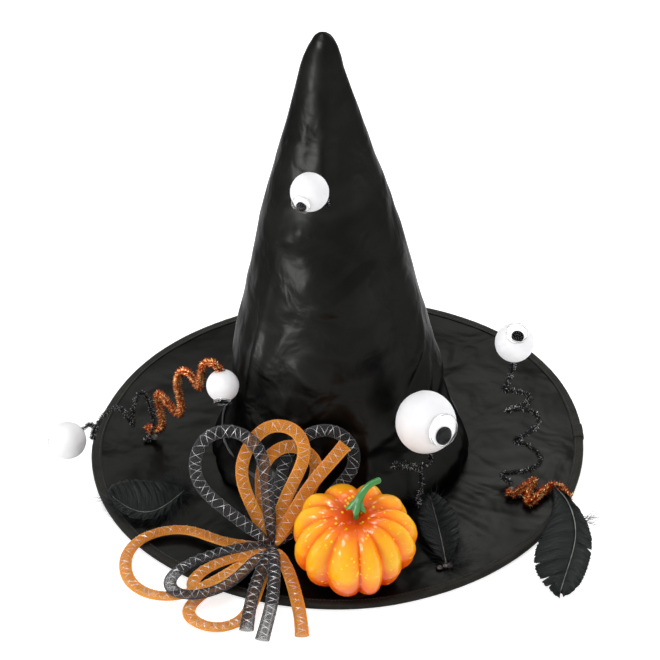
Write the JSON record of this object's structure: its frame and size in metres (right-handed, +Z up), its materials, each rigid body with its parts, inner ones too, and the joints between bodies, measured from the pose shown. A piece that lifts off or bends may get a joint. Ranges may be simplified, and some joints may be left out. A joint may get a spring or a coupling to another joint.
{
  "type": "witch hat",
  "caption": "Pointed satin witch hat with a round bound brim, mesh-tube bow, pumpkin, feathers and googly eyes on tinsel springs.",
  "frame": {"origin": "centre of the head opening on the plane the brim rests on", "axes": "+Z up through the crown, -Y towards the front with the bow and the pumpkin, +X to the right seen from the front"},
  "size_m": [0.4095, 0.4215, 0.353],
  "materials": {
    "hot_glue": "milky",
    "mesh_tube_black": "open mesh with a silver thread",
    "mesh_tube_orange": "open mesh with a silver thread",
    "bow_thread": "wrapped thread",
    "binding_tape": "matte woven tape",
    "edge_wire": "bare wire",
    "brim_foam": "matte foam sheet",
    "satin_black": "glossy satin weave",
    "interlining": "matte non-woven",
    "backing_white": "gloss",
    "foam_white": "matte foam",
    "clear_dome": "clear moulding",
    "pupil_black": "gloss",
    "feather_black": "soft vane with a sheen",
    "pumpkin_orange": "glossy lacquer",
    "stem_green": "satin moulding",
    "tinsel_black": "sparkling foil fibres on a wire",
    "tinsel_orange": "sparkling foil fibres on a wire",
    "sweatband_tape": "matte woven tape"
  },
  "bodies": {
    "hat": {"bow_glue": "hot_glue", "bow_loop_black_left": "mesh_tube_black", "bow_loop_black_upper_left": "mesh_tube_black", "bow_loop_black_upper_right": "mesh_tube_black", "bow_loop_orange_inner": "mesh_tube_orange", "bow_loop_orange_left": "mesh_tube_orange", "bow_loop_orange_lower": "mesh_tube_orange", "bow_loop_orange_upper": "mesh_tube_orange", "bow_loop_orange_upper_back": "mesh_tube_orange", "bow_tail_black_long": "mesh_tube_black", "bow_tail_black_short": "mesh_tube_black", "bow_tail_orange_lower": "mesh_tube_orange", "bow_tail_orange_upper": "mesh_tube_orange", "bow_tie": "bow_thread", "brim_binding": "binding_tape", "brim_binding_lap": "binding_tape", "brim_edge_wire": "edge_wire", "brim_foam_core": "brim_foam", "brim_top_satin": "satin_black", "brim_under_satin": "satin_black", "crown_back_seam": "satin_black", "crown_brim_seam": "satin_black", "crown_interlining": "interlining", "crown_satin": "satin_black", "feather_front": "feather_black", "feather_left": "feather_black", "feather_right": "feather_black", "glue_left": "hot_glue", "glue_right": "hot_glue", "pumpkin_glue": "hot_glue", "pumpkin_shell": "pumpkin_orange", "pumpkin_stem": "stem_green", "sweatband": "sweatband_tape", "tinsel_coil_orange": "tinsel_orange"},
    "spring_crown": {"spring_crown": "tinsel_black"},
    "eye_crown": {"eye_ball_crown": "foam_white", "eye_back_crown": "backing_white", "eye_dome_crown": "clear_dome"},
    "pupil_crown": {"eye_pupil_crown": "pupil_black"},
    "spring_left": {"spring_left": "tinsel_orange"},
    "eye_left": {"eye_ball_left": "foam_white", "eye_back_left": "backing_white", "eye_dome_left": "clear_dome"},
    "pupil_left": {"eye_pupil_left": "pupil_black"},
    "spring_far_left": {"spring_far_left": "tinsel_black"},
    "eye_far_left": {"eye_ball_far_left": "foam_white", "eye_back_far_left": "backing_white", "eye_dome_far_left": "clear_dome"},
    "pupil_far_left": {"eye_pupil_far_left": "pupil_black"},
    "spring_right": {"spring_right": "tinsel_black"},
    "eye_right": {"eye_ball_right": "foam_white", "eye_back_right": "backing_white", "eye_dome_right": "clear_dome"},
    "pupil_right": {"eye_pupil_right": "pupil_black"},
    "spring_front": {"spring_front": "tinsel_black"},
    "eye_front": {"eye_ball_front": "foam_white", "eye_back_front": "backing_white", "eye_dome_front": "clear_dome"},
    "pupil_front": {"eye_pupil_front": "pupil_black"}
  },
  "joints": [
    {"name": "crown_sway", "type": "hinge", "parent": "hat", "child": "spring_crown", "pos_m": [-0.01, -0.0425, 0.246], "axis": [1, 0, 0], "range_deg": [-12, 12], "stiffness_Nm_per_rad": 0.08, "springref_deg": -2.73},
    {"name": "crown_bob", "type": "slide", "parent": "spring_crown", "child": "eye_crown", "axis": [0, 0, 1], "range_m": [-0.008, 0.02], "stiffness_N_per_m": 60, "springref_m": 0.00169, "deforming": ["spring_crown"]},
    {"name": "crown_pupil_roll", "type": "hinge", "parent": "eye_crown", "child": "pupil_crown", "pos_m": [-0.0215, -0.08, 0.275], "axis": [-0.4302, -0.8803, -0.2001], "continuous": true},
    {"name": "left_sway", "type": "hinge", "parent": "hat", "child": "spring_left", "pos_m": [-0.14, 0.005, 0.0043], "axis": [0.6816, 0.7317, 0], "range_deg": [-12, 7], "stiffness_Nm_per_rad": 0.12, "springref_deg": -2.85},
    {"name": "left_bob", "type": "slide", "parent": "spring_left", "child": "eye_left", "axis": [0, 0, 1], "range_m": [-0.01, 0.02], "stiffness_N_per_m": 60, "springref_m": 0.00135, "deforming": ["spring_left"]},
    {"name": "left_pupil_roll", "type": "hinge", "parent": "eye_left", "child": "pupil_left", "pos_m": [-0.0865, -0.046, 0.089], "axis": [0, -0.7507, -0.6606], "continuous": true},
    {"name": "far_left_sway", "type": "hinge", "parent": "hat", "child": "spring_far_left", "pos_m": [-0.148, -0.004, 0.0043], "axis": [0, 0, 1], "range_deg": [-15, 15], "stiffness_Nm_per_rad": 0.08},
    {"name": "far_left_bob", "type": "slide", "parent": "spring_far_left", "child": "eye_far_left", "axis": [0, 0, 1], "range_m": [-0.006, 0.02], "stiffness_N_per_m": 60, "springref_m": 0.0021, "deforming": ["spring_far_left"]},
    {"name": "far_left_pupil_roll", "type": "hinge", "parent": "eye_far_left", "child": "pupil_far_left", "pos_m": [-0.204, -0.046, 0.038], "axis": [-0.7, 0.5, -0.51], "continuous": true},
    {"name": "right_sway", "type": "hinge", "parent": "hat", "child": "spring_right", "pos_m": [0.125, -0.056, 0.0043], "axis": [0, 1, 0], "range_deg": [-18, 18], "stiffness_Nm_per_rad": 0.14, "springref_deg": 0.05},
    {"name": "right_bob", "type": "slide", "parent": "spring_right", "child": "eye_right", "axis": [0, 0, 1], "range_m": [-0.015, 0.03], "stiffness_N_per_m": 60, "springref_m": 0.00211, "deforming": ["spring_right"]},
    {"name": "right_pupil_roll", "type": "hinge", "parent": "eye_right", "child": "pupil_right", "pos_m": [0.124, -0.056, 0.135], "axis": [0.0603, -0.4017, 0.9138], "continuous": true},
    {"name": "front_sway", "type": "hinge", "parent": "hat", "child": "spring_front", "pos_m": [0.062, -0.096, 0.0043], "axis": [0.5291, -0.8486, 0], "range_deg": [-10, 10], "stiffness_Nm_per_rad": 0.45, "springref_deg": -0.1},
    {"name": "front_bob", "type": "slide", "parent": "spring_front", "child": "eye_front", "axis": [0, 0, 1], "range_m": [-0.008, 0.025], "stiffness_N_per_m": 220, "springref_m": 0.00219, "deforming": ["spring_front"]},
    {"name": "front_pupil_roll", "type": "hinge", "parent": "eye_front", "child": "pupil_front", "pos_m": [0.06, -0.096, 0.094], "axis": [0.5697, -0.7796, 0.2599], "continuous": true}
  ]
}
